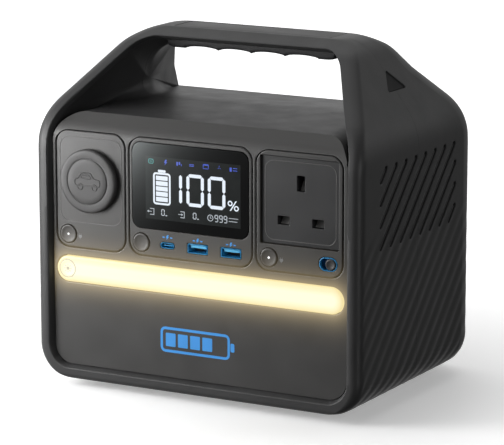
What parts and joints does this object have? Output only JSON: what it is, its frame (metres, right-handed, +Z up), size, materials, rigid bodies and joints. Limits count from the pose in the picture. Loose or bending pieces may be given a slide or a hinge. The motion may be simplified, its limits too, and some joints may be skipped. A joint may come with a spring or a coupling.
{
  "type": "portable power station",
  "caption": "Compact battery power station with an arched carrying handle, capped car socket, display, USB ports, a square-pin mains socket and a light bar across the front",
  "frame": {"origin": "on the ground below the middle of the case", "axes": "+X to the right seen from the front, -Y to the front, +Z up"},
  "size_m": [0.216, 0.16, 0.211],
  "materials": {
    "shell": "satin dark grey",
    "grip": "soft black",
    "panel": "fine satin grey",
    "cap": "soft grey",
    "rubber": "soft black",
    "screw_steel": "blackened steel",
    "glass": "dark gloss",
    "lcd": "dark with lit segments",
    "port_steel": "plated steel",
    "blue_plastic": "blue",
    "black_plastic": "satin black",
    "brass": "bright",
    "light": "lit milky diffuser",
    "board": "green board",
    "heatsink": "extruded",
    "copper": "wound copper",
    "cell_can": "blue sleeve over an aluminium can"
  },
  "bodies": {
    "case": {"front_case": "shell", "rear_case": "shell", "handle_cover": "shell", "handle_grip": "grip", "front_panel": "panel", "rear_panel": "panel", "car_plate": "panel", "display_plate": "panel", "ac_plate": "panel", "foot_1": "rubber", "foot_2": "rubber", "foot_3": "rubber", "foot_4": "rubber", "rear_screw_1": "screw_steel", "rear_screw_2": "screw_steel", "rear_screw_3": "screw_steel", "rear_screw_4": "screw_steel", "display_glass": "glass", "lcd_panel": "lcd", "usb_c_port": "port_steel", "usb_a_port_1": "port_steel", "usb_a_port_2": "port_steel", "car_socket_barrel": "port_steel", "dc_inlet": "port_steel", "usb_a_tongue_1": "blue_plastic", "usb_a_tongue_2": "blue_plastic", "saver_slot": "blue_plastic", "ac_socket_face": "black_plastic", "ac_socket_housing": "black_plastic", "cell_holder_front": "black_plastic", "cell_holder_rear": "black_plastic", "fan_frame": "black_plastic", "ac_contact_live": "brass", "ac_contact_neutral": "brass", "ac_contact_earth": "brass", "car_socket_contact": "brass", "light_diffuser": "light", "led_strip": "board", "battery_board": "board", "inverter_board": "board", "control_board": "board", "heatsink": "heatsink", "transformer": "copper", "cell_1": "cell_can", "cell_2": "cell_can", "cell_3": "cell_can", "cell_4": "cell_can", "cell_5": "cell_can", "cell_6": "cell_can", "cell_7": "cell_can", "cell_8": "cell_can"},
    "car_socket_cap_body": {"car_socket_cap": "cap"},
    "car_button_body": {"car_button": "black_plastic"},
    "display_button_body": {"display_button": "black_plastic"},
    "ac_button_body": {"ac_button": "black_plastic"},
    "light_button_body": {"light_button": "light"},
    "saver_knob_body": {"saver_knob": "black_plastic"},
    "fan_rotor_body": {"fan_rotor": "black_plastic"},
    "dc_flap_body": {"dc_inlet_flap": "rubber"}
  },
  "joints": [
    {"name": "car_cap_pull", "type": "slide", "parent": "case", "child": "car_socket_cap_body", "axis": [0, -1, 0], "range_m": [0, 0.022]},
    {"name": "car_button_press", "type": "slide", "parent": "case", "child": "car_button_body", "axis": [0, 1, 0], "range_m": [0, 0.0008], "stiffness_N_per_m": 1500, "springref_m": -0.0004},
    {"name": "display_button_press", "type": "slide", "parent": "case", "child": "display_button_body", "axis": [0, 1, 0], "range_m": [0, 0.0008], "stiffness_N_per_m": 1500, "springref_m": -0.0004},
    {"name": "ac_button_press", "type": "slide", "parent": "case", "child": "ac_button_body", "axis": [0, 1, 0], "range_m": [0, 0.0008], "stiffness_N_per_m": 1500, "springref_m": -0.0004},
    {"name": "light_button_press", "type": "slide", "parent": "case", "child": "light_button_body", "axis": [0, 1, 0], "range_m": [0, 0.0008], "stiffness_N_per_m": 1500, "springref_m": -0.0004},
    {"name": "saver_slide", "type": "slide", "parent": "case", "child": "saver_knob_body", "axis": [-1, 0, 0], "range_m": [0, 0.0034]},
    {"name": "fan_spin", "type": "hinge", "parent": "case", "child": "fan_rotor_body", "pos_m": [0.092, -0.0055, 0.1225], "axis": [1, 0, 0], "continuous": true},
    {"name": "dc_flap_hinge", "type": "hinge", "parent": "case", "child": "dc_flap_body", "pos_m": [0, 0.0748, 0.1072], "axis": [-1, 0, 0], "range_deg": [0, 80]}
  ]
}
